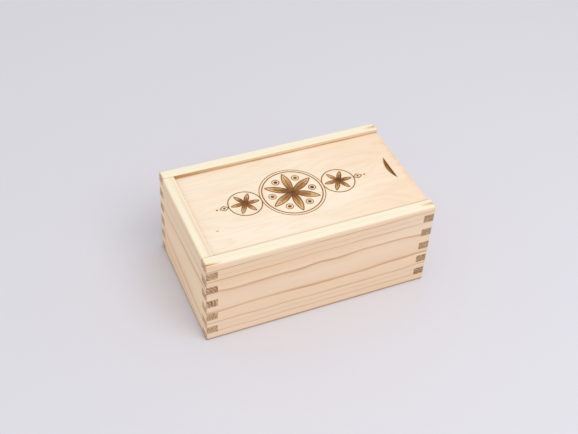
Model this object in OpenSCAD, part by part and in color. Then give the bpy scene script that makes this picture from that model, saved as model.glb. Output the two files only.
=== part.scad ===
// Sliding-lid keepsake box in solid pine, with box-jointed corners and a plywood lid.
// Millimetres. X runs from the closed end to the open end, Y from front to back, Z up.
// The origin is the middle of the footprint, on the surface that the box stands on.

/* [Box] */
// Outside length, from the closed end to the open end
box_l = 204; // [160:1:320]
// Outside width, across the lid
box_w = 120; // [90:1:200]
// Thickness of the four pine walls
wall_t = 10; // [9:0.5:14]

/* [Corner joints] */
// Height of one finger; the box is as high as all its fingers stacked
finger_h = 8; // [7:0.5:12]
// Fingers in the height, both walls' counted; an odd number leaves the long walls the top and bottom ones
finger_count = 11; // [7:2:15]
// Glue line above and below each finger
glue_gap = 0.05; // [0.02:0.01:0.1]

/* [Sliding lid] */
// Thickness of the plywood lid
lid_t = 4.5; // [3:0.1:5]
// How deep the lid's grooves go into the walls
lid_groove_d = 5; // [4:0.25:6]
// Clearance between the lid's edges and the bottoms of its grooves
lid_side_play = 0.4; // [0.2:0.1:1]
// Running clearance under the lid
lid_float = 0.1; // [0.05:0.05:0.2]
// Running clearance over the lid
lid_headroom = 0.3; // [0.2:0.05:0.6]
// How far the lid's outer end stands back from the box's end
lid_setback = 0.2; // [0:0.1:1]
// Radius on the upper edge of the lid's outer end
lid_end_round = 0.8; // [0.3:0.1:1.5]

/* [Lip ends] */
// Length of the dip sanded into each lip where the lid comes out
lip_dip_l = 10; // [4:1:20]
// Depth of that dip at the box's open end
lip_dip_d = 0.7; // [0.2:0.1:1.2]

/* [Thumb notch] */
// Length of the notch's straight side
notch_l = 31; // [18:0.5:40]
// Width of the crescent at its middle
notch_w = 5; // [3:0.1:8]
// Depth of the notch at its straight side
notch_d = 2.5; // [1:0.1:2.6]
// Distance from the lid's outer end to the straight side
notch_inset = 11; // [8:0.5:20]
// How far the notch sits from the lid's middle, towards the back
notch_shift = 2; // [0:0.5:6]

/* [Bottom panel] */
// Thickness of the plywood bottom
bottom_t = 3; // [2.5:0.1:3.5]
// Height of the bottom's groove above the base
bottom_lift = 3.5; // [3:0.25:4]
// How deep the bottom's groove goes into the walls
bottom_groove_d = 4.5; // [3:0.25:5.5]
// Fit of the bottom in its groove, at its edges and over it
bottom_play = 0.2; // [0.1:0.05:0.4]

/* [Eased edges] */
// Radius on the outer top edges
top_round = 2; // [0.5:0.1:2.5]
// Radius on the upright corners
corner_round = 1.2; // [0.5:0.1:2]
// Radius on the outer bottom edges
base_round = 0.8; // [0.4:0.1:2]
// Radius on the top edges beside the lid
rim_round = 0.5; // [0.2:0.1:1]

/* [Hidden] */
$fn = 96;

// Heights, from the base up
box_h = finger_h * finger_count;
open_end_top = box_h - finger_h;         // the open end wall stops one finger short, under the lid
lid_seat = open_end_top + glue_gap;      // floor of the lid's groove, in line with the finger's edge
lid_z = lid_seat + lid_float;            // underside of the lid
lid_top = lid_z + lid_t;
lid_groove_h = lid_float + lid_t + lid_headroom;
bottom_groove_h = bottom_t + bottom_play;

// Half sizes, from the middle of the footprint
half_l = box_l / 2;
half_w = box_w / 2;
inner_l = box_l - 2 * wall_t;
inner_w = box_w - 2 * wall_t;

// Plan of the lid: it reaches into three grooves and ends near the face of the open end
lid_start = -half_l + wall_t - lid_groove_d + lid_side_play;
lid_end = half_l - lid_setback;
lid_w = inner_w + 2 * (lid_groove_d - lid_side_play);
groove_w = inner_w + 2 * lid_groove_d;   // across the box, from one groove's bottom to the other's

// Cutters run this far past what they cut
over = 1;

pine = "burlywood";
birch = "wheat";
poplar = "tan";

// Box standing on a plane, centred on the X and Y given
module block(size, at = [0, 0, 0]) {
    translate([at[0] - size[0] / 2, at[1] - size[1] / 2, at[2]]) cube(size);
}

// What a radius takes off a corner at the origin, whose edges run along +X and +Y
module spandrel(r) {
    difference() {
        translate([-over, -over]) square(r + over);
        translate([r, r]) circle(r);
    }
}

// Turns a flat shape drawn towards +X to face -X where side is negative
module facing(side) {
    mirror([side < 0 ? 1 : 0, 0]) children();
}

// Rectangle centred on X, from y = 0 up, with one radius at its two lower corners and one at its upper ones
module eased_rectangle(w, h, r_low, r_high) {
    difference() {
        translate([-w / 2, 0]) square([w, h]);
        for (side = [-1, 1]) {
            translate([side * w / 2, 0]) facing(-side) spandrel(r_low);
            translate([side * w / 2, h]) facing(-side) mirror([0, 1]) spandrel(r_high);
        }
    }
}

// The sanded outside of the glued-up box: each wall is cut from it, so the edges run on from wall to wall
module sanded_outside() {
    intersection() {
        rotate([90, 0, 0]) linear_extrude(box_w + 2 * over, center = true)
            eased_rectangle(box_l, box_h, base_round, top_round);
        rotate([90, 0, 90]) linear_extrude(box_l + 2 * over, center = true)
            eased_rectangle(box_w, box_h, base_round, top_round);
        linear_extrude(box_h) translate([0, -half_w])
            eased_rectangle(box_l, box_w, corner_round, corner_round);
    }
}

// Sockets in a long wall's end, one for each finger of the end wall, at the odd places in the stack
module long_wall_sockets() {
    for (side = [-1, 1], place = [1 : 2 : finger_count - 2])
        block([wall_t * 2, box_w + 2 * over, finger_h + 2 * glue_gap],
            [side * half_l, 0, place * finger_h - glue_gap]);
}

// Sockets in an end wall's ends, one for each finger of the long walls, at the even places
module end_wall_sockets() {
    for (side = [-1, 1], place = [0 : 2 : finger_count - 1]) {
        below = place == 0 ? over : 0;
        above = place == finger_count - 1 ? over : 0;
        block([box_l + 2 * over, wall_t * 2, finger_h + below + above],
            [0, side * half_w, place * finger_h - below]);
    }
}

// Room for the lid: one groove round three walls, open to the end where the lid slides out.
// It starts inside the closed end's corners, so that nothing of it shows from outside.
module lid_groove() {
    start = -half_l + wall_t - lid_groove_d;
    translate([start, -groove_w / 2, lid_seat]) cube([half_l + over - start, groove_w, lid_groove_h]);
}

// Room for the bottom panel, all round the inside and closed at the corners
module bottom_groove() {
    reach = 2 * bottom_groove_d;
    block([inner_l + reach, inner_w + reach, bottom_groove_h], [0, 0, bottom_lift]);
}

// Softened top edges of the long walls, from the closed end wall to the open end
module rim_easing() {
    for (side = [-1, 1])
        translate([-half_l + wall_t, side * inner_w / 2, box_h]) rotate([90, 0, 90])
            linear_extrude(box_l)
                facing(side) mirror([0, 1]) spandrel(rim_round);
}

// Softened edge across the box, at X and Z; side tells which way the wood lies
module cross_easing(x, z, side, length, r) {
    translate([x, 0, z]) rotate([90, 0, 0])
        linear_extrude(length, center = true)
            facing(side) mirror([0, 1]) spandrel(r);
}

// The thin lips over the lid's groove give under the sander, which leaves a dip at their open ends
module lip_dips() {
    fall = lip_dip_d / lip_dip_l;
    run = lip_dip_l + over;
    for (side = [-1, 1])
        translate([half_l - lip_dip_l, side * (inner_w + lid_groove_d) / 2, box_h]) rotate([90, 0, 0])
            linear_extrude(lid_groove_d, center = true)
                polygon([[0, 0], [run, -fall * run], [run, over], [0, over]]);
}

// One long wall; the front one has side = -1
module long_wall(side) {
    difference() {
        intersection() {
            block([box_l, wall_t, box_h], [0, side * (half_w - wall_t / 2), 0]);
            sanded_outside();
        }
        long_wall_sockets();
        lid_groove();
        bottom_groove();
        rim_easing();
        lip_dips();
    }
}

module front_wall() {
    color(pine) long_wall(-1);
}

module back_wall() {
    color(pine) long_wall(1);
}

// Full-height end, whose groove takes the lid's inner end
module closed_end_wall() {
    color(pine) difference() {
        intersection() {
            block([wall_t, box_w, box_h], [-half_l + wall_t / 2, 0, 0]);
            sanded_outside();
        }
        end_wall_sockets();
        lid_groove();
        bottom_groove();
        cross_easing(-half_l + wall_t, box_h, -1, box_w, rim_round);
    }
}

// Lower end, which the lid passes over
module open_end_wall() {
    color(pine) difference() {
        intersection() {
            block([wall_t, box_w, open_end_top], [half_l - wall_t / 2, 0, 0]);
            sanded_outside();
        }
        end_wall_sockets();
        bottom_groove();
        for (side = [-1, 1])
            cross_easing(half_l - wall_t / 2 - side * wall_t / 2, open_end_top, side, groove_w, rim_round);
    }
}

// Plywood bottom, held in the groove of all four walls
module bottom_panel() {
    reach = 2 * (bottom_groove_d - bottom_play);
    color(poplar) block([inner_l + reach, inner_w + reach, bottom_t], [0, 0, bottom_lift]);
}

// Crescent nick for a fingernail: a bevelled disc leaves an upright wall on its flat side
module thumb_notch() {
    disc_r = (pow(notch_l / 2, 2) + pow(notch_d, 2)) / (2 * notch_d);
    slope = notch_d / notch_w;
    bevel_w = notch_w * 2;
    translate([lid_end - notch_inset - bevel_w, notch_shift, lid_top + disc_r - notch_d])
        rotate([0, 90, 0])
            cylinder(h = bevel_w, r1 = disc_r - slope * bevel_w, r2 = disc_r);
}

// Plywood lid, which slides out along +X
module lid() {
    color(birch) difference() {
        translate([lid_start, -lid_w / 2, lid_z]) cube([lid_end - lid_start, lid_w, lid_t]);
        thumb_notch();
        cross_easing(lid_end, lid_top, -1, lid_w + 2 * over, lid_end_round);
    }
}

front_wall();
back_wall();
closed_end_wall();
open_end_wall();
bottom_panel();
lid();
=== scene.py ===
import math

import bmesh
import bpy
from mathutils import Matrix, Vector
from mathutils.geometry import delaunay_2d_cdt


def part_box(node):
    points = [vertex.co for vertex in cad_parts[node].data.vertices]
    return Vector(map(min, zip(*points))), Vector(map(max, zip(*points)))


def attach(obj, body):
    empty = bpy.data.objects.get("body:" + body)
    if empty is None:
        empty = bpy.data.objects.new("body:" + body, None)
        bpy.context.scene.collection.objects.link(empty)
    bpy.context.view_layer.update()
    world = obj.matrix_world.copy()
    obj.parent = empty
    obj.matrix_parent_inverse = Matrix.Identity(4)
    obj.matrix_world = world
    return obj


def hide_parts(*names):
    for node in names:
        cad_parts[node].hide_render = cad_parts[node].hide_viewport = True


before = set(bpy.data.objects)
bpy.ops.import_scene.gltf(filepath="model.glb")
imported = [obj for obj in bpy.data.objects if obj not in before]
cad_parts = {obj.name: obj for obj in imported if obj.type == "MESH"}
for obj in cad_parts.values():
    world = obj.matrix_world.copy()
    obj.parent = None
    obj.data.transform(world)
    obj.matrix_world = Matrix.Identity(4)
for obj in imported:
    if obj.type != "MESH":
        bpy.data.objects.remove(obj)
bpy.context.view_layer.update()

print("keepsake box: the packed pieces are", ", ".join(sorted(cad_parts)))


def toLinear(hexText):
    # sRGB hex to the linear colour that a shader socket takes
    parts = [int(hexText[i:i + 2], 16) / 255 for i in (0, 2, 4)]
    return [c / 12.92 if c <= 0.04045 else ((c + 0.055) / 1.055) ** 2.4 for c in parts] + [1.0]


def addNode(tree, kind, plugs=None, **settings):
    # plugs: socket name or number -> a value, an output socket, or a node whose first output is meant
    node = tree.nodes.new("ShaderNode" + kind)
    for name, value in settings.items():
        setattr(node, name, value)
    for name, value in (plugs or {}).items():
        if isinstance(value, bpy.types.Node):
            value = value.outputs[0]
        if isinstance(value, bpy.types.NodeSocket):
            tree.links.new(value, node.inputs[name])
        else:
            node.inputs[name].default_value = value
    return node


def setRamp(node, stops):
    # stops: (place, hex colour or grey level)
    ramp = node.color_ramp
    while len(ramp.elements) < len(stops):
        ramp.elements.new(1.0)
    for element, (place, colour) in zip(ramp.elements, stops):
        element.position = place
        element.color = toLinear(colour) if isinstance(colour, str) else (colour, colour, colour, 1.0)


# Camera: solved from the box's own corners in the photograph, 578 x 434 px

photoCamera = {
    "place": (-0.26866, -0.54816, 0.63177),  # metres, in the box's frame
    "azimuth": -25.68,  # degrees round the box from its long front
    "elevation": 43.385,
    "roll": 3.94,
    "lens": 60.32,  # mm, on a 36 mm wide sensor
}


def placeCamera(values):
    data = bpy.data.cameras.new("photoCamera")
    data.sensor_width = 36.0
    data.lens = values["lens"]
    data.clip_start = 0.01
    data.clip_end = 60.0
    camera = bpy.data.objects.new("photoCamera", data)
    turn = Matrix.Rotation(math.radians(values["azimuth"]), 4, "Z")
    tilt = Matrix.Rotation(math.radians(90 - values["elevation"]), 4, "X")
    roll = Matrix.Rotation(math.radians(values["roll"]), 4, "Z")
    camera.matrix_world = Matrix.Translation(values["place"]) @ turn @ tilt @ roll
    bpy.context.scene.collection.objects.link(camera)
    bpy.context.scene.camera = camera


placeCamera(photoCamera)
print("camera placed")

# Floor and light

studio = {
    "floorColour": "DDDCE4",  # pale whitewashed table, a little cool
    "floorRoughness": 0.9,
    "floorSheen": 0.2,
    "floorSize": 24.0,  # metres, so that its edge is far out of every view
    "worldLevel": 0.765,  # even light of a white room
    "worldColour": (1.0, 1.0, 1.0),
    "keyPlace": (0.25, -0.75, 1.35),  # window light from the front, a little warmer
    "keySize": 1.1,
    "keyPower": 8.5,
    "keyColour": (1.0, 0.985, 0.96),
}


def mattFloor():
    # painted board: matt, without sheen, so that only the box's shadow shows on it
    material = bpy.data.materials.new("mattFloorPaint")
    material.use_nodes = True
    shader = material.node_tree.nodes["Principled BSDF"]
    shader.inputs["Base Color"].default_value = toLinear(studio["floorColour"])
    shader.inputs["Roughness"].default_value = studio["floorRoughness"]
    shader.inputs["Specular IOR Level"].default_value = studio["floorSheen"]
    return material


def buildStudio():
    half = studio["floorSize"] / 2
    mesh = bpy.data.meshes.new("floor")
    corners = [(-half, -half, 0), (half, -half, 0), (half, half, 0), (-half, half, 0)]
    mesh.from_pydata(corners, [], [(0, 1, 2, 3)])
    mesh.materials.append(mattFloor())
    floor = bpy.data.objects.new("floor", mesh)
    bpy.context.scene.collection.objects.link(floor)

    world = bpy.data.worlds.new("softStudio")
    bpy.context.scene.world = world
    world.use_nodes = True
    tree = world.node_tree
    tree.nodes.clear()
    # the eye sees the floor's colour beyond the floor, and the rest is lit by white
    lit = addNode(tree, "Background", {"Color": (*studio["worldColour"], 1),
                                       "Strength": studio["worldLevel"]})
    seen = addNode(tree, "Background", {"Color": toLinear(studio["floorColour"]), "Strength": 1.0})
    path = addNode(tree, "LightPath")
    direct = addNode(tree, "Math", {0: path.outputs["Is Camera Ray"], 1: path.outputs["Is Glossy Ray"]},
                     operation="MAXIMUM")
    direct = addNode(tree, "Math", {0: direct, 1: path.outputs["Is Transmission Ray"]}, operation="MAXIMUM")
    both = addNode(tree, "MixShader", {0: direct, 1: lit, 2: seen})
    addNode(tree, "OutputWorld", {"Surface": both})

    lamp = bpy.data.lights.new("skyPanel", "AREA")
    lamp.shape = "DISK"
    lamp.size = studio["keySize"]
    lamp.energy = studio["keyPower"]
    lamp.color = studio["keyColour"]
    panel = bpy.data.objects.new("skyPanel", lamp)
    panel.location = studio["keyPlace"]
    panel.rotation_euler = (-Vector(studio["keyPlace"])).to_track_quat("-Z", "Y").to_euler()
    bpy.context.scene.collection.objects.link(panel)
    bpy.context.scene.view_settings.view_transform = "Standard"


buildStudio()
print("studio lit")

# Pine walls

pineLook = {
    "early": "F6DCC0",  # soft wood of spring, pale and slightly pink
    "late": "CB9763",  # hard dark line at the end of each year
    "heart": "F2CFA8",  # warmer drift across the board
    "litTopEarly": "F9EED6",  # painted highlight: the upper edges are made paler, as if more brightly lit
    "litTopLate": "F0D9AE",
    "endEarly": "D5B28C",  # end grain drinks light, so it is darker
    "endLate": "856040",
    "inside": "F7F5EE",  # painted shade on the inner faces, which makes them a little darker and yellower
    "cornerHeartAndShade": "D2B88E",  # inner faces darker towards the closed end's corner over the lid: partly warmer heartwood, partly painted shade
    "footShade": "C8B097",  # painted shade along the foot of the walls, where they meet the floor
    "hardLine": "9E6A36",  # where the sander cut through a year
    "amber": "EDBF85",  # resinous wood beside such a line
    "jointLine": "D6B88E",  # tone of the glue line between two walls, seen on the upper edges
    "outerShade": 0.955,  # brightness of a board's upper and lower parts, where the years lie closer
    "burntMost": 0.85,  # how dark the stripes of the cut ends are at the height of burntAt
    "burntLeast": 0.4,  # and elsewhere
    "fibreDark": 0.95,  # brightness of the darkest fibres and of the lightest
    "fibreLight": 1.03,
    "roughness": 0.6,
    "lateRoughness": 0.52,  # hard wood takes a little polish
    "endRoughness": 0.15,  # what the cut ends add to it
    "lateRelief": 0.7,  # how far late wood stands up, where a fibre is 1
    "relief": 0.00008,  # metres
    "reliefStrength": 0.35,
}

# Sizes and places of what shows in the wood, in millimetres
pineSizes = {
    "waveLength": 110.0,  # slow waves in the year rings
    "waveWidth": 35.0,
    "kinkLength": 25.0,  # and small kinks in them
    "kinkShift": 0.6,
    "fadeLength": 70.0,  # no year's line is as strong all the way along: it fades and comes back
    "fadeWidth": 9.0,
    "driftLength": 260.0,  # warmer wood comes and goes
    "driftWidth": 22.0,
    "fibreLength": 30.0,
    "fibreWidth": 0.6,  # 0.03 in the tree, drawn wider so that the fibres show
    "outerFrom": 12.0,  # from the pith, up or down, to where a board starts to darken
    "outerTo": 32.0,
    "rimFrom": 84.0,  # heights between which the marks of the upper edges come in
    "rimTo": 86.0,
    "lineReach": 0.75,  # half the width of a hard line, and of the amber wood round it
    "amberReach": 3.0,
    "jointFrom": 49.2,  # from the middle of an end wall to its joint with a long one
    "jointTo": 49.8,
    "cornerDarkFrom": -45.0,  # along X, from where this darkening of the inner faces begins to where it is full
    "cornerDarkTo": -92.0,
    "endStripe": 2.6,  # from one dark line of the end grain to the next
    "endWaver": 4.0,  # how far these lines wander
    "patchesPerMm": 0.35,  # where the cut ends took up more dust
    "specksPerMm": 1.1,  # open fibres, bundled so that they show
    "burntFrom": 12.0,  # from burntAt, up or down, to where the saw burnt the stripes less
    "burntTo": 20.0,
    "footShadeTo": 1.2,  # the painted shade at the foot is full up to this height, and fades out by the next
    "footShadeNone": 2.6,
}

# Each board has its own place in the tree. Lengths are in millimetres.
frontBoard = {
    "grain": "X",
    "pithHeight": 45.7,  # where the middle of the trunk would lie
    "pithDepth": -15.0,
    "spacing": 4.0,  # from one year's line to the next
    "swing": 0.201,  # years that the lines come early or late, as good and bad years follow each other
    "swingLength": 12.706,
    "swingStart": 4.774,  # radians
    "start": 1.245,  # years, which sets where the lines lie
    "tilt": 0.006,  # slope of the trunk's middle
    "taper": -0.0016,  # slope of its outside
    "wave": 1.2,
    "seed": 3.0,
    "luck": 30.0,  # picks which years made strong lines
    "lateShare": 0.12,  # how much of a year is dark
    "topLate": 0.6,  # how strongly these lines show on the paler upper edges
    "inward": 1,  # which way the box's inside lies
    "tone": (1.0, 1.0, 1.0),  # scales the colour along the grain
    "endTone": 1.12,  # and at the cut ends
    "endPale": 0.15,  # how far the sanding has brought the cut ends back to the colour of the sides
    "burntAt": 62.0,  # height where the saw burnt the stripes of the cut ends deepest
    # on the upper edge: a line's faint end and its dark one, each along and across the grain, and how dark
    "hardLines": [((-88.0, -58.8), (-103.0, -58.0), 1.0), ((88.0, -54.2), (102.5, -54.9), 0.6)],
}
backBoard = dict(frontBoard, pithHeight=30.0, pithDepth=8.0, spacing=3.4, start=0.3, tilt=-0.01, taper=0.0,
                 seed=11.0, inward=-1, hardLines=[((88.0, 54.2), (102.5, 54.9), 0.35)])
# the closed end's tone is painted light: it makes that end's faces brighter, as if more light fell on them
closedEndBoard = dict(frontBoard, grain="Y", pithHeight=40.0, pithDepth=-131.0, spacing=8.57, swing=0.0,
                      start=-0.029, tilt=0.035, taper=0.045, seed=17.0, luck=22.0, lateShare=0.14,
                      topLate=0.4, tone=(1.09, 1.08, 1.03), endTone=1.07, endPale=0.0, burntAt=52.0,
                      hardLines=[((140.0, -94.7), (-140.0, -94.3), 0.22)])
openEndBoard = dict(closedEndBoard, pithHeight=47.0, pithDepth=122.0, spacing=5.0, start=0.6, tilt=-0.02,
                    taper=0.01, seed=23.0, inward=-1, tone=(1.0, 1.0, 1.0), endTone=0.87, burntAt=0.0,
                    hardLines=[])


def bareMaterial(name):
    # an unfinished material, with the texture coordinates and the place in millimetres for its patterns
    material = bpy.data.materials.new(name)
    material.use_nodes = True
    tree = material.node_tree
    place = addNode(tree, "TexCoord")
    inMm = addNode(tree, "VectorMath", {0: place.outputs["Object"], "Scale": 1000.0}, operation="SCALE")
    return material, tree, place, inMm


def stretched(tree, place, length, width):
    # the place, scaled so that a noise of scale 1 makes marks this long and wide
    sizes = (1 / length, 1 / width, 1 / width)
    return addNode(tree, "VectorMath", {0: place, 1: sizes}, operation="MULTIPLY")


def yearRings(tree, board, at):
    # height over the pith, and the distance from it that says which year the wood is from
    slow = stretched(tree, at["grain"], pineSizes["waveLength"], pineSizes["waveWidth"])
    slow = addNode(tree, "TexNoise", {"Vector": slow, "W": board["seed"], "Scale": 1.0, "Detail": 1.0},
                   noise_dimensions="4D")
    wave = addNode(tree, "MapRange", {0: slow, 1: 0.0, 2: 1.0, 3: -board["wave"], 4: board["wave"]},
                   clamp=False)
    kink = addNode(tree, "TexNoise", {"Vector": at["grain"], "W": board["seed"] + 7, "Detail": 0.0,
                                      "Scale": 1 / pineSizes["kinkLength"]}, noise_dimensions="4D")
    kink = addNode(tree, "MapRange", {0: kink, 1: 0.0, 2: 1.0, 3: -pineSizes["kinkShift"],
                                      4: pineSizes["kinkShift"]}, clamp=False)
    wave = addNode(tree, "Math", {0: wave, 1: kink}, operation="ADD")
    lean = addNode(tree, "Math", {0: at["along"], 1: -board["tilt"], 2: at["height"]},
                   operation="MULTIPLY_ADD")
    up = addNode(tree, "Math", {0: lean, 1: board["pithHeight"]}, operation="SUBTRACT")
    deep = addNode(tree, "Math", {0: at["across"], 1: board["pithDepth"]}, operation="SUBTRACT")
    fromPith = addNode(tree, "CombineXYZ", {0: up, 1: deep})
    radius = addNode(tree, "VectorMath", {0: fromPith}, operation="LENGTH")
    radius = addNode(tree, "Math", {0: radius.outputs["Value"], 1: wave}, operation="ADD")
    radius = addNode(tree, "Math", {0: at["along"], 1: board["taper"], 2: radius}, operation="MULTIPLY_ADD")
    return up, radius


def lateWood(tree, board, at, radius):
    # how dark the year's own line makes the wood: a year starts pale and ends in a dark line
    rings = addNode(tree, "Math", {0: radius, 1: 1 / board["spacing"], 2: board["start"]},
                    operation="MULTIPLY_ADD")
    turn = addNode(tree, "Math", {0: radius, 1: 2 * math.pi / board["swingLength"], 2: board["swingStart"]},
                   operation="MULTIPLY_ADD")
    swing = addNode(tree, "Math", {0: turn}, operation="SINE")
    rings = addNode(tree, "Math", {0: swing, 1: board["swing"], 2: rings}, operation="MULTIPLY_ADD")
    year = addNode(tree, "Math", {0: rings}, operation="FRACT")
    yearNumber = addNode(tree, "Math", {0: rings}, operation="FLOOR")
    # last year's line stops short, and this year's comes in slowly and is darkest near its end
    late = addNode(tree, "ValToRGB", {0: year})
    share = board["lateShare"]
    setRamp(late, [(0.0, 0.3), (0.025, 0.0), (1 - 3.3 * share, 0.02), (1 - share, 0.22),
                   (1 - 0.4 * share, 1.0), (1.0, 0.9)])
    drawn = addNode(tree, "Math", {0: yearNumber, 1: board["luck"]}, operation="ADD")
    luck = addNode(tree, "TexWhiteNoise", {"W": drawn}, noise_dimensions="1D")
    strength = addNode(tree, "MapRange", {0: luck, 1: 0.2, 2: 0.8, 3: 0.4, 4: 1.0})
    late = addNode(tree, "Math", {0: late, 1: strength}, operation="MULTIPLY")
    fade = stretched(tree, at["grain"], pineSizes["fadeLength"], pineSizes["fadeWidth"])
    fade = addNode(tree, "TexNoise", {"Vector": fade, "W": board["seed"] + 9, "Scale": 1.0, "Detail": 1.0},
                   noise_dimensions="4D")
    fade = addNode(tree, "MapRange", {0: fade, 1: 0.35, 2: 0.62, 3: 0.5, 4: 1.1})
    return addNode(tree, "Math", {0: late, 1: fade}, operation="MULTIPLY")


def sideWood(tree, board, at, facingUp, up, late):
    # colour along the grain: the faces, and the upper edges, made paler as a painted highlight
    drift = stretched(tree, at["grain"], pineSizes["driftLength"], pineSizes["driftWidth"])
    drift = addNode(tree, "TexNoise", {"Vector": drift, "W": board["seed"] + 5, "Scale": 1.0, "Detail": 2.0},
                    noise_dimensions="4D")
    warm = addNode(tree, "MapRange", {0: drift, 1: 0.4, 2: 0.7, 3: 0.0, 4: 0.75})
    spring = addNode(tree, "Mix", {0: warm, 6: toLinear(pineLook["early"]), 7: toLinear(pineLook["heart"])},
                     data_type="RGBA")
    side = addNode(tree, "Mix", {0: late, 6: spring.outputs[2], 7: toLinear(pineLook["late"])},
                   data_type="RGBA")
    side = addNode(tree, "VectorMath", {0: side.outputs[2], 1: board["tone"]}, operation="MULTIPLY")
    outer = addNode(tree, "Math", {0: up}, operation="ABSOLUTE")
    outer = addNode(tree, "MapRange", {0: outer, 1: pineSizes["outerFrom"], 2: pineSizes["outerTo"], 3: 1.0,
                                       4: pineLook["outerShade"]})
    side = addNode(tree, "VectorMath", {0: side, "Scale": outer}, operation="SCALE")
    # painted highlight: upward faces take a paler colour, with fainter lines
    softLate = addNode(tree, "Math", {0: late, 1: board["topLate"]}, operation="MULTIPLY")
    litTop = addNode(tree, "Mix", {0: softLate, 6: toLinear(pineLook["litTopEarly"]),
                                   7: toLinear(pineLook["litTopLate"])}, data_type="RGBA")
    upward = addNode(tree, "MapRange", {0: facingUp, 1: 0.55, 2: 0.95, 3: 0.0, 4: 1.0},
                     interpolation_type="SMOOTHSTEP")
    return addNode(tree, "Mix", {0: upward, 6: side, 7: litTop.outputs[2]}, data_type="RGBA")


def rimMarks(tree, board, at, side):
    # hard lines and glue lines, which show on the upper edges alone
    onRim = addNode(tree, "MapRange", {0: at["height"], 1: pineSizes["rimFrom"], 2: pineSizes["rimTo"]})
    for (faintAt, faintAcross), (darkAt, darkAcross), howDark in board["hardLines"]:
        # the line itself and the amber wood round it both fade towards the faint end
        slope = (darkAcross - faintAcross) / (darkAt - faintAt)
        beside = addNode(tree, "Math", {0: at["along"], 1: -slope, 2: at["across"]}, operation="MULTIPLY_ADD")
        beside = addNode(tree, "Math", {0: beside, 1: faintAcross - slope * faintAt}, operation="SUBTRACT")
        beside = addNode(tree, "Math", {0: beside}, operation="ABSOLUTE")
        onLine = addNode(tree, "MapRange", {0: at["along"], 1: faintAt, 2: darkAt})
        onLine = addNode(tree, "Math", {0: onLine, 1: onRim}, operation="MULTIPLY")
        for reach, colour, strongest in ((pineSizes["amberReach"], "amber", min(1.0, 2 * howDark)),
                                         (pineSizes["lineReach"], "hardLine", howDark)):
            near = addNode(tree, "MapRange", {0: beside, 1: 0.3 * reach, 2: reach, 3: strongest, 4: 0.0})
            near = addNode(tree, "Math", {0: near, 1: onLine}, operation="MULTIPLY")
            side = addNode(tree, "Mix", {0: near, 6: side.outputs[2], 7: toLinear(pineLook[colour])},
                           data_type="RGBA")
    if board["grain"] == "Y":
        joint = addNode(tree, "Math", {0: at["along"]}, operation="ABSOLUTE")
        joint = addNode(tree, "MapRange", {0: joint, 1: pineSizes["jointFrom"], 2: pineSizes["jointTo"]})
        joint = addNode(tree, "Math", {0: joint, 1: onRim}, operation="MULTIPLY")
        side = addNode(tree, "Mix", {0: joint, 6: side.outputs[2], 7: toLinear(pineLook["jointLine"])},
                       data_type="RGBA", blend_type="MULTIPLY")
    return side


def innerFaces(tree, board, x, facingAcross, side):
    # painted shade: the inner faces are made a little darker and yellower, as if in shade
    inner = addNode(tree, "Math", {0: facingAcross, 1: board["inward"]}, operation="MULTIPLY")
    inner = addNode(tree, "MapRange", {0: inner, 1: 0.5, 2: 0.9})
    side = addNode(tree, "Mix", {0: inner, 6: side.outputs[2], 7: toLinear(pineLook["inside"])},
                   data_type="RGBA", blend_type="MULTIPLY")
    # darker towards the closed end's corner: partly heartwood, partly painted shade
    corner = addNode(tree, "MapRange", {0: x, 1: pineSizes["cornerDarkFrom"], 2: pineSizes["cornerDarkTo"]})
    corner = addNode(tree, "Math", {0: corner, 1: inner}, operation="MULTIPLY")
    return addNode(tree, "Mix", {0: corner, 6: side.outputs[2], 7: toLinear(pineLook["cornerHeartAndShade"])},
                   data_type="RGBA", blend_type="MULTIPLY")


def cutEnds(tree, board, at, radius):
    # End grain: its narrow years stand out as wavering stripes, here strong and there faint, over the speckle
    # of open fibres and patches that took up more dust
    patch = addNode(tree, "TexNoise", {"Vector": at["inMm"], "W": board["seed"], "Detail": 2.0,
                                       "Scale": pineSizes["patchesPerMm"]}, noise_dimensions="4D")
    waver = addNode(tree, "Math", {0: patch, 1: pineSizes["endWaver"], 2: radius}, operation="MULTIPLY_ADD")
    stripe = addNode(tree, "Math", {0: waver, 1: 1 / pineSizes["endStripe"]}, operation="MULTIPLY")
    stripe = addNode(tree, "Math", {0: stripe}, operation="FRACT")
    stripe = addNode(tree, "ValToRGB", {0: stripe})
    setRamp(stripe, [(0.0, 0.1), (0.15, 0.0), (0.55, 0.15), (0.8, 1.0), (1.0, 0.6)])
    burnt = addNode(tree, "Math", {0: at["height"], 1: board["burntAt"]}, operation="SUBTRACT")
    burnt = addNode(tree, "Math", {0: burnt}, operation="ABSOLUTE")
    burnt = addNode(tree, "MapRange", {0: burnt, 1: pineSizes["burntFrom"], 2: pineSizes["burntTo"],
                                       3: pineLook["burntMost"], 4: pineLook["burntLeast"]})
    stripe = addNode(tree, "Math", {0: stripe, 1: burnt}, operation="MULTIPLY")
    speckle = addNode(tree, "TexNoise", {"Vector": at["inMm"], "Scale": pineSizes["specksPerMm"],
                                         "Detail": 1.0})
    speckle = addNode(tree, "MapRange", {0: speckle, 1: 0.3, 2: 0.7, 3: 0.05, 4: 0.5})
    stripe = addNode(tree, "Math", {0: stripe, 1: speckle}, operation="ADD")
    patch = addNode(tree, "MapRange", {0: patch, 1: 0.35, 2: 0.65, 3: -0.25, 4: 0.25})
    stripe = addNode(tree, "Math", {0: stripe, 1: patch}, operation="ADD", use_clamp=True)
    cutEnd = addNode(tree, "Mix", {0: stripe, 6: toLinear(pineLook["endEarly"]),
                                   7: toLinear(pineLook["endLate"])}, data_type="RGBA")
    cutEnd = addNode(tree, "Mix", {0: board["endPale"], 6: cutEnd.outputs[2], 7: toLinear(pineLook["early"])},
                     data_type="RGBA")
    return addNode(tree, "VectorMath", {0: cutEnd.outputs[2], "Scale": board["endTone"]}, operation="SCALE")


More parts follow.
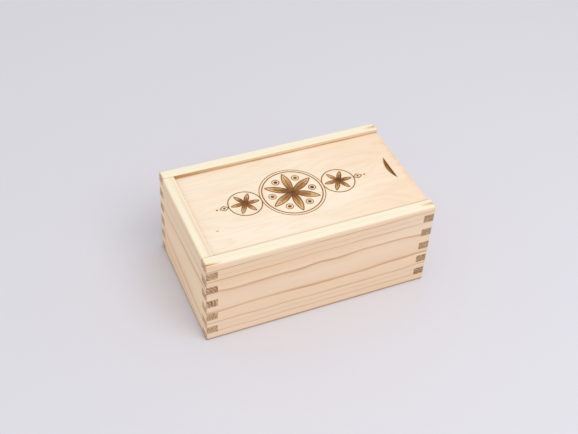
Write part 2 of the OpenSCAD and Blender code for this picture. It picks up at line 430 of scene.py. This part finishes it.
def planedPine(name, board):
    # Pine, sawn along the trunk, planed and sanded, left bare: wavy dark lines of late wood along each board,
    # their cut ends dark and striped, a dull sheen, and upper edges painted paler as a highlight.
    material, tree, place, inMm = bareMaterial(name)
    shader = tree.nodes["Principled BSDF"]
    axes = addNode(tree, "SeparateXYZ", {0: inMm})
    facing = addNode(tree, "SeparateXYZ", {0: place.outputs["Normal"]})
    across = "Y" if board["grain"] == "X" else "X"
    at = {"inMm": inMm, "along": axes.outputs[board["grain"]], "across": axes.outputs[across],
          "height": axes.outputs["Z"]}
    at["grain"] = addNode(tree, "CombineXYZ", {0: at["along"], 1: at["height"], 2: at["across"]})

    up, radius = yearRings(tree, board, at)
    late = lateWood(tree, board, at, radius)
    side = sideWood(tree, board, at, facing.outputs["Z"], up, late)
    side = rimMarks(tree, board, at, side)
    side = innerFaces(tree, board, axes.outputs["X"], facing.outputs[across], side)
    cutEnd = cutEnds(tree, board, at, radius)
    endFacing = addNode(tree, "Math", {0: facing.outputs[board["grain"]]}, operation="ABSOLUTE")
    atEnd = addNode(tree, "MapRange", {0: endFacing, 1: 0.35, 2: 0.85, 3: 0.0, 4: 1.0},
                    interpolation_type="SMOOTHSTEP")
    wood = addNode(tree, "Mix", {0: atEnd, 6: side.outputs[2], 7: cutEnd}, data_type="RGBA")
    # painted shade along the foot of the walls
    standing = addNode(tree, "MapRange", {0: at["height"], 1: pineSizes["footShadeTo"],
                                          2: pineSizes["footShadeNone"], 3: 1.0, 4: 0.0})
    wood = addNode(tree, "Mix", {0: standing, 6: wood.outputs[2], 7: toLinear(pineLook["footShade"])},
                   data_type="RGBA", blend_type="MULTIPLY")
    fine = stretched(tree, at["grain"], pineSizes["fibreLength"], pineSizes["fibreWidth"])
    fibre = addNode(tree, "TexNoise", {"Vector": fine, "Scale": 1.0, "Detail": 2.0})
    shade = addNode(tree, "MapRange", {0: fibre, 1: 0.25, 2: 0.75, 3: pineLook["fibreDark"],
                                       4: pineLook["fibreLight"]})
    wood = addNode(tree, "VectorMath", {0: wood.outputs[2], "Scale": shade}, operation="SCALE")
    tree.links.new(wood.outputs[0], shader.inputs["Base Color"])

    rough = addNode(tree, "MapRange", {0: late, 1: 0.0, 2: 1.0, 3: pineLook["roughness"],
                                       4: pineLook["lateRoughness"]})
    rough = addNode(tree, "Math", {0: atEnd, 1: pineLook["endRoughness"], 2: rough}, operation="MULTIPLY_ADD")
    tree.links.new(rough.outputs[0], shader.inputs["Roughness"])
    relief = addNode(tree, "Math", {0: late, 1: pineLook["lateRelief"], 2: fibre}, operation="MULTIPLY_ADD")
    bump = addNode(tree, "Bump", {"Strength": pineLook["reliefStrength"], "Distance": pineLook["relief"],
                                  "Height": relief})
    tree.links.new(bump.outputs[0], shader.inputs["Normal"])
    return material


for wallName, board in (("front_wall", frontBoard), ("back_wall", backBoard),
                        ("closed_end_wall", closedEndBoard), ("open_end_wall", openEndBoard)):
    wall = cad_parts[wallName]
    for slot in wall.material_slots:
        slot.material = planedPine("planedPine_" + wallName, board)
print("walls in pine")

# Plywood lid and bottom

lidLook = {
    "face": "FDEDD9",  # rotary-cut birch veneer, cream with a touch of peach
    "figure": "F2D6B6",
    "coreLong": "E5C499",  # plies seen at the edge with their grain along it
    "coreCross": "B98E60",  # and those with their ends to it
    "glue": "7E5B3A",
    "plies": 5,
    "seed": 2.0,
    "loopLength": 130.0,  # mm, size of the figure's loops
    "loopWidth": 24.0,
    "loops": 11.0,  # how many of them lie inside each other
    "cutFrom": 0.25,  # mm, depths between which the plies come to show
    "cutTo": 0.6,
    "poreLength": 12.0,  # mm
    "poreWidth": 0.5,  # 0.1 in birch, drawn wider so that the pores show
    "poreDark": 0.965,  # brightness in the pores and between them
    "poreLight": 1.02,
    "roughness": 0.5,
    "poreRoughness": 0.56,
    "relief": 0.00005,  # metres
    "reliefStrength": 0.25,
}
bottomLook = dict(lidLook, face="E8CFAE", figure="D9B88E", plies=3, seed=31.0)
# What use and growth have left on the lid, and painted shade in the thumb notch and beside the lips. Places
# and sizes in millimetres
lidMarks = {
    # the first tone is painted shade on the cut wood in the thumb notch
    "notchShade": "CDBE9C",  # tones that the bare wood's colour is multiplied by
    "handled": "F9F0E4",
    # the next two tones are painted shade on the lid beside the front and back lips
    "lipShadeFront": "E6DAC9",
    "lipShadeBack": "E0CFB8",
    "pinKnot": "C6A682",
    "peach": "FDF6EF",
    "notchShadeFrom": 9.0,  # from the outer end to the notch's edge, between which its painted shade comes in
    "grimeTo": 9.5,
    "handledLength": 5.0,  # strip along the outer end that fingers hold
    "handledFull": 1.0,
    "handledPatch": 9.0,  # size of the patches in it
    "peachFrom": 20.0,  # the veneer turns a little pinker towards the open end
    "peachTo": 100.0,
    "lipShadeFrontFrom": -45.4,  # where along Y the painted shade beside each lip begins
    "lipShadeFrontTo": -47.0,
    "lipShadeBackFrom": 48.5,
    "lipShadeBackTo": 49.4,
    "pinKnotPlace": (-78.6, -22.0),
    "pinKnotSize": (1.5, 0.6),
}


def lidMasks(tree, inMm, axes, cut, outerEnd):
    # where each mark of lidMarks lies, as (mask, name of its tone)
    x, y = axes.outputs["X"], axes.outputs["Y"]
    # painted shade on the cut wood in the thumb notch
    edgeOfNotch = addNode(tree, "MapRange", {0: x, 1: outerEnd - lidMarks["grimeTo"],
                                             2: outerEnd - lidMarks["notchShadeFrom"], 3: 1.0, 4: 0.0})
    inNotch = addNode(tree, "Math", {0: edgeOfNotch, 1: cut}, operation="MULTIPLY")
    held = addNode(tree, "MapRange", {0: x, 1: outerEnd - lidMarks["handledLength"],
                                      2: outerEnd - lidMarks["handledFull"]})
    uneven = addNode(tree, "TexNoise", {"Vector": inMm, "Scale": 1 / lidMarks["handledPatch"], "Detail": 1.0})
    uneven = addNode(tree, "MapRange", {0: uneven, 1: 0.4, 2: 0.6, 3: 0.3, 4: 1.2})
    held = addNode(tree, "Math", {0: held, 1: uneven}, operation="MULTIPLY", use_clamp=True)
    # painted shade on the lid beside the front and back lips
    front = addNode(tree, "MapRange", {0: y, 1: lidMarks["lipShadeFrontFrom"], 2: lidMarks["lipShadeFrontTo"]})
    back = addNode(tree, "MapRange", {0: y, 1: lidMarks["lipShadeBackFrom"], 2: lidMarks["lipShadeBackTo"]})
    knotPlace = (*lidMarks["pinKnotPlace"], 0.0)
    knotLength, knotWidth = lidMarks["pinKnotSize"]
    fromKnot = addNode(tree, "VectorMath", {0: inMm, 1: knotPlace}, operation="SUBTRACT")
    fromKnot = addNode(tree, "VectorMath", {0: fromKnot, 1: (1 / knotLength, 1 / knotWidth, 0.0)},
                       operation="MULTIPLY")
    fromKnot = addNode(tree, "VectorMath", {0: fromKnot}, operation="LENGTH")
    atKnot = addNode(tree, "MapRange", {0: fromKnot.outputs["Value"], 1: 0.6, 2: 1.3, 3: 1.0, 4: 0.0})
    pinker = addNode(tree, "MapRange", {0: x, 1: lidMarks["peachFrom"], 2: lidMarks["peachTo"]})
    return [(inNotch, "notchShade"), (held, "handled"), (front, "lipShadeFront"), (back, "lipShadeBack"),
            (atKnot, "pinKnot"), (pinker, "peach")]


def sandedPlywood(name, look, node):
    # Birch plywood: thin peeled veneers glued crosswise and sanded. A faint, wandering figure on the faces
    # and stripes of long and cross grain with dark glue lines on the edges.
    low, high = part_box(node)
    material, tree, place, inMm = bareMaterial(name)
    shader = tree.nodes["Principled BSDF"]
    axes = addNode(tree, "SeparateXYZ", {0: inMm})

    # The knife peels along the rings, so the figure is what is left of them: faint long loops along X
    slow = addNode(tree, "VectorMath", {0: inMm, 1: (1 / look["loopLength"], 1 / look["loopWidth"], 0.0)},
                   operation="MULTIPLY")
    loops = addNode(tree, "TexNoise", {"Vector": slow, "W": look["seed"], "Scale": 1.0, "Detail": 2.0,
                                       "Roughness": 0.4, "Distortion": 0.3}, noise_dimensions="4D")
    bands = addNode(tree, "Math", {0: loops, 1: look["loops"]}, operation="MULTIPLY")
    bands = addNode(tree, "Math", {0: bands}, operation="FRACT")
    figure = addNode(tree, "ValToRGB", {0: bands})
    setRamp(figure, [(0.0, 0.12), (0.1, 0.0), (0.6, 0.04), (0.92, 0.26), (1.0, 0.2)])
    cloud = addNode(tree, "TexNoise", {"Vector": slow, "W": look["seed"] + 3, "Scale": 1.3, "Detail": 3.0},
                    noise_dimensions="4D")
    cloud = addNode(tree, "MapRange", {0: cloud, 1: 0.35, 2: 0.7, 3: 0.0, 4: 0.5})
    figure = addNode(tree, "Math", {0: figure, 1: cloud}, operation="ADD")
    face = addNode(tree, "Mix", {0: figure, 6: toLinear(look["face"]), 7: toLinear(look["figure"])},
                   data_type="RGBA")

    level = addNode(tree, "MapRange", {0: axes.outputs["Z"], 1: low.z * 1000, 2: high.z * 1000, 3: 0.0,
                                       4: float(look["plies"])})
    inPly = addNode(tree, "Math", {0: level}, operation="FRACT")
    plyNumber = addNode(tree, "Math", {0: level}, operation="FLOOR")
    crosswise = addNode(tree, "Math", {0: plyNumber, 1: 2.0}, operation="FLOORED_MODULO")
    ply = addNode(tree, "Mix", {0: crosswise, 6: toLinear(look["coreLong"]), 7: toLinear(look["coreCross"])},
                  data_type="RGBA")
    seam = addNode(tree, "ValToRGB", {0: inPly})
    setRamp(seam, [(0.0, 1.0), (0.07, 0.0), (0.93, 0.0), (1.0, 1.0)])
    edge = addNode(tree, "Mix", {0: seam, 6: ply.outputs[2], 7: toLinear(look["glue"])}, data_type="RGBA")

    # Where the face veneer is cut through or ends, the plies show
    belowTop = addNode(tree, "Math", {0: high.z * 1000, 1: axes.outputs["Z"]}, operation="SUBTRACT")
    aboveBase = addNode(tree, "Math", {0: axes.outputs["Z"], 1: low.z * 1000}, operation="SUBTRACT")
    inside = addNode(tree, "Math", {0: belowTop, 1: aboveBase}, operation="MINIMUM")
    cut = addNode(tree, "MapRange", {0: inside, 1: look["cutFrom"], 2: look["cutTo"], 3: 0.0, 4: 1.0})
    wood = addNode(tree, "Mix", {0: cut, 6: face.outputs[2], 7: edge.outputs[2]}, data_type="RGBA")
    if node == "lid":
        for mask, tone in lidMasks(tree, inMm, axes, cut, high.x * 1000):
            wood = addNode(tree, "Mix", {0: mask, 6: wood.outputs[2], 7: toLinear(lidMarks[tone])},
                           data_type="RGBA", blend_type="MULTIPLY")

    fine = stretched(tree, inMm, look["poreLength"], look["poreWidth"])
    pores = addNode(tree, "TexNoise", {"Vector": fine, "Scale": 1.0, "Detail": 2.0})
    shade = addNode(tree, "MapRange", {0: pores, 1: 0.25, 2: 0.75, 3: look["poreDark"],
                                       4: look["poreLight"]})
    wood = addNode(tree, "VectorMath", {0: wood.outputs[2], "Scale": shade}, operation="SCALE")
    tree.links.new(wood.outputs[0], shader.inputs["Base Color"])
    rough = addNode(tree, "MapRange", {0: pores, 1: 0.3, 2: 0.7, 3: look["poreRoughness"],
                                       4: look["roughness"]})
    tree.links.new(rough.outputs[0], shader.inputs["Roughness"])
    bump = addNode(tree, "Bump", {"Strength": look["reliefStrength"], "Distance": look["relief"],
                                  "Height": pores})
    tree.links.new(bump.outputs[0], shader.inputs["Normal"])
    return material


lidPly = sandedPlywood("sandedPlywood_lid", lidLook, "lid")
bottomPly = sandedPlywood("sandedPlywood_bottom", bottomLook, "bottom_panel")
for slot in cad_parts["bottom_panel"].material_slots:
    slot.material = bottomPly
print("lid and bottom in plywood")

# Engraving: a band of compass-drawn rosettes, burnt into the lid

engraving = {
    "centre": (-3.0, 1.0),  # all in millimetres, on the lid
    "petal": 24.0,  # length of the middle rosette's petals
    "smallPetal": 12.5,
    "ringGap": 2.0,
    "secondRing": 4.3,
    "line": 0.75,
    "fine": 0.45,
    "halo": 0.7,  # how much wider than a line its scorched margin is
    "hatch": 1.5,  # from one shading line to the next
    "bead": 1.6,  # radius of the dots between the middle rosette's petals, and of the rings round them
    "beadRing": 3.1,
    "tipLength": 8.0,  # lozenge at either end of the band, with a dot in it and one beyond it
    "tipBead": 1.0,
    "endBead": 0.8,
    "lineDepth": 0.2,
    "scorchDepth": 0.06,
    "step": 1.0,  # length of the straight pieces of a curve
    "joinWithin": 0.002,  # strokes that meet within this share a point
}
# Places along a petal, as shares of its length from the rosette's middle
petalPlaces = {
    "ribFrom": 0.1,
    "ribTo": 0.84,
    "hatchFrom": 0.16,
    "hatchTo": 0.62,
    "hatchSlant": 0.1,  # how far a shading line runs along the petal while it crosses to its edge
    "bead": 0.76,
}
burntLook = {
    "deep": "573212",
    "light": "8A5826",
    "scorch": [(0.05, "84521F"), (0.35, "BC854A"), (0.7, "DDB07A"), (1.0, "E5C08F")],  # out from the middle
    "patch": 9.0,  # mm, size of the blotches
}


def rosettePlaces():
    # (middle, petal) of the three rosettes, from left to right
    large, small = engraving["petal"], engraving["smallPetal"]
    apart = large + engraving["secondRing"] + small + engraving["ringGap"]
    middle = Vector(engraving["centre"])
    return [(middle - Vector((apart, 0.0)), small), (middle, large), (middle + Vector((apart, 0.0)), small)]


def strip(points, width, endWidth=None):
    # outline of a stroke through the points
    endWidth = width if endWidth is None else endWidth
    left = []
    right = []
    for i, point in enumerate(points):
        before = points[max(i - 1, 0)]
        after = points[min(i + 1, len(points) - 1)]
        side = (after - before).normalized().orthogonal()
        half = (width + (endWidth - width) * i / (len(points) - 1)) / 2
        left.append(point + side * half)
        right.append(point - side * half)
    return left + right[::-1]


def polar(angle):
    return Vector((math.cos(angle), math.sin(angle)))


def arc(middle, radius, start, end):
    count = max(3, math.ceil(abs(end - start) * radius / engraving["step"]))
    return [middle + radius * polar(start + (end - start) * i / count) for i in range(count + 1)]


def ring(middle, radius, width):
    # two halves that overlap a little
    return [strip(arc(middle, radius, start, start + math.pi + 0.02), width) for start in (0.0, math.pi)]


def dot(middle, radius):
    return arc(middle, radius, 0.0, 2 * math.pi)[:-1]


def petalEdges(middle, petal, along):
    # the two arcs, each as long as the petal, that meet at the rosette's middle and at the petal's tip
    edges = []
    for side in (-1, 1):
        hub = middle + petal * polar(along + side * math.pi / 3)
        towards = along + side * math.pi / 3 + math.pi
        edges.append(arc(hub, petal, towards, towards + side * math.pi / 3))
    return edges


def petalShading(middle, petal, along, line):
    # a rib, and slanting lines from it that are longest near the rosette's middle
    axis = polar(along)
    cross = Vector((-axis.y, axis.x))
    ribStart = middle + axis * petal * petalPlaces["ribFrom"]
    ribEnd = middle + axis * petal * petalPlaces["ribTo"]
    strokes = [strip([ribStart, ribEnd], line * 0.9, line * 0.4)]
    slant = petalPlaces["hatchSlant"] * petal
    fine = engraving["fine"]
    place = petalPlaces["hatchFrom"] * petal
    while place < petalPlaces["hatchTo"] * petal:
        # width of the petal where the line would meet its edge
        reach = place + slant
        halfWidth = math.sqrt(petal ** 2 - (reach - petal / 2) ** 2) - petal * math.sqrt(0.75)
        fade = 0.95 - 0.5 * place / petal
        for side in (-1, 1):
            end = middle + axis * (place + slant * fade) + cross * side * halfWidth * fade
            strokes.append(strip([middle + axis * place, end], fine * 1.2, fine * 0.7))
        place += engraving["hatch"]
    return strokes


def bandShapes(scorch):
    # outlines of all strokes, or of the browned areas: the petals' insides and a margin round each line
    grow = engraving["halo"] if scorch else 0.0
    line = engraving["line"]
    shapes = []
    places = rosettePlaces()
    for middle, petal in places:
        large = petal == engraving["petal"]
        width = line if large else line * 0.9
        turn = math.pi / 6 if large else 0.0
        for k in range(6):
            along = turn + k * math.pi / 3
            first, second = petalEdges(middle, petal, along)
            shapes += [strip(first, width + grow), strip(second, width + grow)]
            shapes += [first + second[-2:0:-1]] if scorch else petalShading(middle, petal, along, width)
        shapes += ring(middle, petal + engraving["ringGap"], width + grow)
    middle, petal = places[1]
    shapes += ring(middle, petal + engraving["secondRing"], line * 0.6 + grow)
    for k in range(6):
        between = middle + polar(k * math.pi / 3) * petal * petalPlaces["bead"]
        shapes.append(dot(between, engraving["bead"] + grow / 2))
        shapes += ring(between, engraving["beadRing"], line * 0.6 + grow)
    for side, (middle, petal) in ((-1, places[0]), (1, places[2])):
        length = side * engraving["tipLength"]
        edge = middle + Vector((side * (petal + engraving["ringGap"]), 0.0))
        corners = [(0.0, 0.0), (0.5, 0.36), (1.0, 0.0), (0.5, -0.36), (0.0, 0.0)]
        lozenge = [edge + Vector((length * a, engraving["tipLength"] * b)) for a, b in corners]
        for start, end in zip(lozenge, lozenge[1:]):
            shapes.append(strip([start, end], line * 0.8 + grow))
        shapes.append(dot(edge + Vector((length * 0.5, 0.0)), engraving["tipBead"] + grow / 2))
        shapes.append(dot(edge + Vector((length * 1.3, 0.0)), engraving["endBead"] + grow / 2))
    return shapes


def engravingCutter(name, shapes, top, depth, material):
    # The strokes overlap, so one triangulation joins them before they become a solid
    points = []
    outlines = []
    for shape in shapes:
        area = sum(a.x * b.y - b.x * a.y for a, b in zip(shape, shape[1:] + shape[:1]))
        shape = shape if area > 0 else shape[::-1]
        outlines.append(list(range(len(points), len(points) + len(shape))))
        points += shape
    flat, _, triangles, *origins = delaunay_2d_cdt(points, [], outlines, 1, engraving["joinWithin"])
    triangles = [corners for corners, strokes in zip(triangles, origins[2]) if strokes]
    mesh = bmesh.new()
    upper = [mesh.verts.new((*(p / 1000), top + depth / 1000)) for p in flat]
    lower = [mesh.verts.new((*(p / 1000), top - depth / 1000)) for p in flat]
    sides = set()
    for corners in triangles:
        mesh.faces.new([upper[i] for i in corners])
        mesh.faces.new([lower[i] for i in reversed(corners)])
        sides.update(zip(corners, corners[1:] + corners[:1]))
    for a, b in sorted(sides):
        if (b, a) not in sides:
            mesh.faces.new([upper[a], lower[a], lower[b], upper[b]])
    loose = [v for v in mesh.verts if not v.link_faces]
    bmesh.ops.delete(mesh, geom=loose, context="VERTS")
    data = bpy.data.meshes.new(name)
    mesh.to_mesh(data)
    mesh.free()
    data.materials.append(material)
    cutter = bpy.data.objects.new(name, data)
    bpy.context.scene.collection.objects.link(cutter)
    return cutter


def laserBurntVeneer():
    # Birch veneer burnt deep by a laser: matt dark brown, uneven where the beam met hard or soft wood
    material, tree, place, inMm = bareMaterial("laserBurntVeneer")
    shader = tree.nodes["Principled BSDF"]
    patch = addNode(tree, "TexNoise", {"Vector": inMm, "Scale": 1 / burntLook["patch"], "Detail": 3.0})
    amount = addNode(tree, "MapRange", {0: patch, 1: 0.35, 2: 0.65})
    colour = addNode(tree, "Mix", {0: amount, 6: toLinear(burntLook["deep"]),
                                   7: toLinear(burntLook["light"])}, data_type="RGBA")
    tree.links.new(colour.outputs[2], shader.inputs["Base Color"])
    rough = addNode(tree, "MapRange", {0: patch, 1: 0.3, 2: 0.7, 3: 0.85, 4: 0.7})
    tree.links.new(rough.outputs[0], shader.inputs["Roughness"])
    return material


def laserBrownedVeneer():
    # The same veneer browned by a quick pass of the laser: toffee at each rosette's middle, fading to straw
    # at the tips of its petals and beside the lines, and a little blotchy.
    material, tree, place, inMm = bareMaterial("laserBrownedVeneer")
    shader = tree.nodes["Principled BSDF"]
    onLid = addNode(tree, "VectorMath", {0: inMm, 1: (1.0, 1.0, 0.0)}, operation="MULTIPLY")
    nearest = addNode(tree, "Value")
    nearest.outputs[0].default_value = 2.0
    for middle, petal in rosettePlaces():
        away = addNode(tree, "VectorMath", {0: onLid, 1: (*middle, 0.0)}, operation="DISTANCE")
        share = addNode(tree, "Math", {0: away.outputs["Value"], 1: 1 / petal}, operation="MULTIPLY")
        nearest = addNode(tree, "Math", {0: nearest, 1: share}, operation="MINIMUM")
    patch = addNode(tree, "TexNoise", {"Vector": inMm, "Scale": 1 / burntLook["patch"], "Detail": 3.0})
    uneven = addNode(tree, "MapRange", {0: patch, 1: 0.3, 2: 0.7, 3: -0.2, 4: 0.2})
    nearest = addNode(tree, "Math", {0: nearest, 1: uneven}, operation="ADD")
    colour = addNode(tree, "ValToRGB", {0: nearest})
    setRamp(colour, burntLook["scorch"])
    tree.links.new(colour.outputs[0], shader.inputs["Base Color"])
    rough = addNode(tree, "MapRange", {0: patch, 1: 0.3, 2: 0.7, 3: 0.75, 4: 0.6})
    tree.links.new(rough.outputs[0], shader.inputs["Roughness"])
    return material


def engraveLid():
    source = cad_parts["lid"]
    low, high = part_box("lid")
    data = source.data.copy()
    data.name = "engraved_lid"
    data.materials.clear()
    data.materials.append(lidPly)
    lidMesh = bmesh.new()
    lidMesh.from_mesh(data)
    bmesh.ops.remove_doubles(lidMesh, verts=lidMesh.verts, dist=1e-7)
    lidMesh.to_mesh(data)
    lidMesh.free()
    engraved = bpy.data.objects.new("engraved_lid", data)
    bpy.context.scene.collection.objects.link(engraved)
    # first the browned areas, then the burnt lines through them
    browned = engravingCutter("brownedAreas", bandShapes(True), high.z, engraving["scorchDepth"],
                              laserBrownedVeneer())
    burnt = engravingCutter("burntLines", bandShapes(False), high.z, engraving["lineDepth"],
                            laserBurntVeneer())
    for cutter in (browned, burnt):
        cut = engraved.modifiers.new(cutter.name, "BOOLEAN")
        cut.operation = "DIFFERENCE"
        cut.object = cutter
        cut.solver = "EXACT"
        cut.material_mode = "TRANSFER"
    bpy.context.view_layer.update()
    done = bpy.data.meshes.new_from_object(engraved.evaluated_get(bpy.context.evaluated_depsgraph_get()))
    engraved.modifiers.clear()
    engraved.data = done
    for cutter in (browned, burnt):
        bpy.data.objects.remove(cutter)
    # only the notch and the rounded end are curved, and they are the faces that lean
    done.set_sharp_from_angle(angle=math.radians(30))
    for face in done.polygons:
        face.use_smooth = max(abs(part) for part in face.normal) < 0.9999
    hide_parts("lid")
    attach(engraved, "lid")
    print("lid engraved:", len(done.polygons), "faces,", [m.name for m in done.materials])


engraveLid()

bpy.context.view_layer.update()
